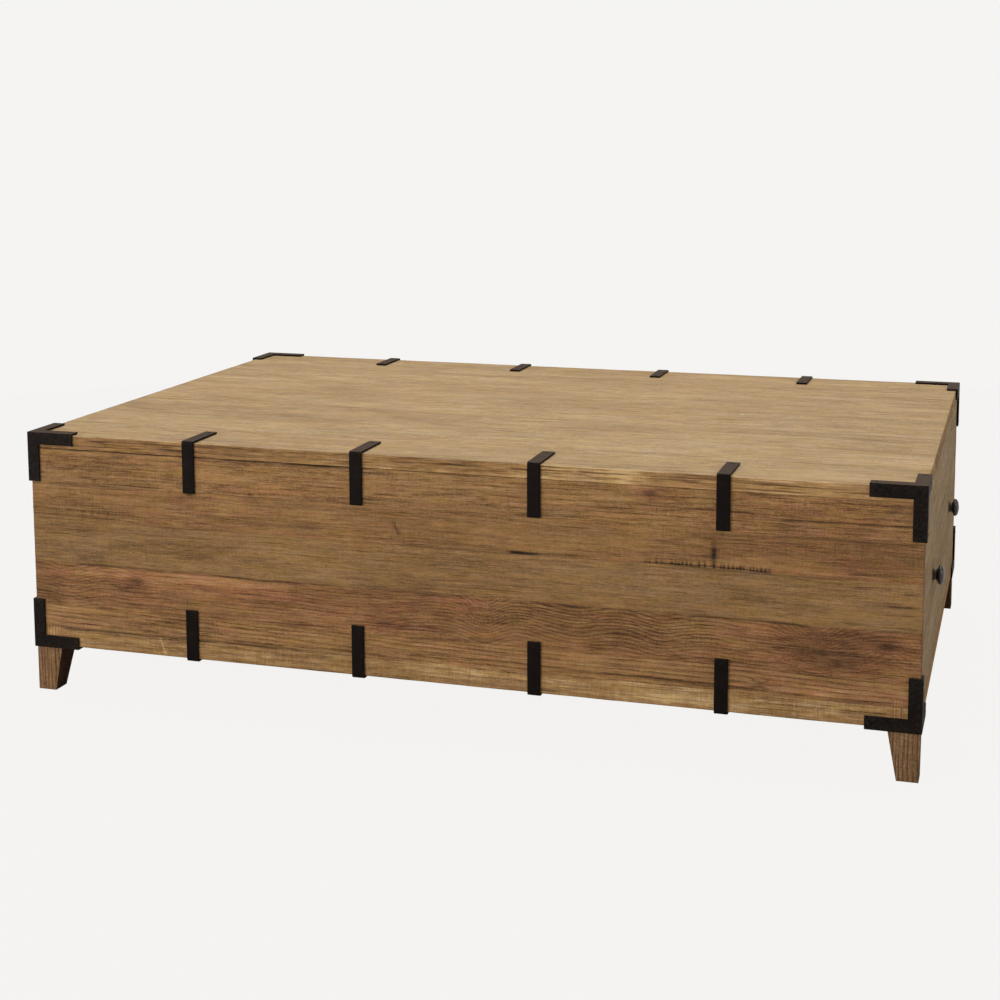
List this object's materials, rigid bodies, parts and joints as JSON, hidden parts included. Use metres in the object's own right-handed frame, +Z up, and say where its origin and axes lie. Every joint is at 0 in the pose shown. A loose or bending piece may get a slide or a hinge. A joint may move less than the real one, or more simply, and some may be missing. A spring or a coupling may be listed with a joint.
{
  "type": "wooden chest",
  "caption": "Low plank chest with a fixed table top, a drawer sliding out of each end, bent flat-iron straps, corner irons, round knobs and short tapered feet.",
  "frame": {"origin": "on the floor under the middle of the chest", "axes": "+X along the length towards the right-hand drawer, +Y from the front panel to the back panel, +Z up"},
  "size_m": [1.4346, 0.9066, 0.4253],
  "materials": {
    "top_planks": "bleached, wire-brushed old elm, dead matt",
    "side_planks": "brown, rough-sawn and brushed old elm, dead matt",
    "drawer_planks": "brown brushed old elm, matt",
    "foot_wood": "brown old elm, matt, worn at the edges",
    "inner_wood": "plain planed pine, matt",
    "blackened_iron": "oil-blackened flat iron, satin, rubbed at the edges",
    "screw_steel": "zinc plated"
  },
  "bodies": {
    "carcass": {"top_panel": "top_planks", "front_panel": "side_planks", "back_panel": "side_planks", "bottom_panel": "side_planks", "centre_divider": "inner_wood", "runner_right_front": "inner_wood", "runner_right_back": "inner_wood", "runner_left_front": "inner_wood", "runner_left_back": "inner_wood", "drawer_stop_right": "inner_wood", "drawer_stop_left": "inner_wood", "foot_front_right": "foot_wood", "foot_back_left": "foot_wood", "foot_front_left": "foot_wood", "foot_back_right": "foot_wood", "corner_iron_top_front_right": "blackened_iron", "corner_iron_top_back_right": "blackened_iron", "corner_iron_top_back_left": "blackened_iron", "corner_iron_top_front_left": "blackened_iron", "corner_iron_bottom_front_right": "blackened_iron", "corner_iron_bottom_back_right": "blackened_iron", "corner_iron_bottom_back_left": "blackened_iron", "corner_iron_bottom_front_left": "blackened_iron", "strap_top_front_1": "blackened_iron", "strap_top_front_2": "blackened_iron", "strap_top_front_3": "blackened_iron", "strap_top_front_4": "blackened_iron", "strap_top_back_1": "blackened_iron", "strap_top_back_2": "blackened_iron", "strap_top_back_3": "blackened_iron", "strap_top_back_4": "blackened_iron", "strap_bottom_front_1": "blackened_iron", "strap_bottom_front_2": "blackened_iron", "strap_bottom_front_3": "blackened_iron", "strap_bottom_front_4": "blackened_iron", "strap_bottom_back_1": "blackened_iron", "strap_bottom_back_2": "blackened_iron", "strap_bottom_back_3": "blackened_iron", "strap_bottom_back_4": "blackened_iron"},
    "drawer_right": {"drawer_right_face": "drawer_planks", "drawer_right_side_front": "inner_wood", "drawer_right_side_back": "inner_wood", "drawer_right_rear": "inner_wood", "drawer_right_bottom": "inner_wood", "drawer_right_knob_front": "blackened_iron", "drawer_right_knob_back": "blackened_iron", "drawer_right_knob_screw_front": "screw_steel", "drawer_right_knob_screw_back": "screw_steel"},
    "drawer_left": {"drawer_left_face": "drawer_planks", "drawer_left_side_front": "inner_wood", "drawer_left_side_back": "inner_wood", "drawer_left_rear": "inner_wood", "drawer_left_bottom": "inner_wood", "drawer_left_knob_front": "blackened_iron", "drawer_left_knob_back": "blackened_iron", "drawer_left_knob_screw_front": "screw_steel", "drawer_left_knob_screw_back": "screw_steel"}
  },
  "joints": [
    {"name": "drawer_right_slide", "type": "slide", "parent": "carcass", "child": "drawer_right", "axis": [1, 0, 0], "range_m": [0, 0.488]},
    {"name": "drawer_left_slide", "type": "slide", "parent": "carcass", "child": "drawer_left", "axis": [-1, 0, 0], "range_m": [0, 0.488]}
  ]
}
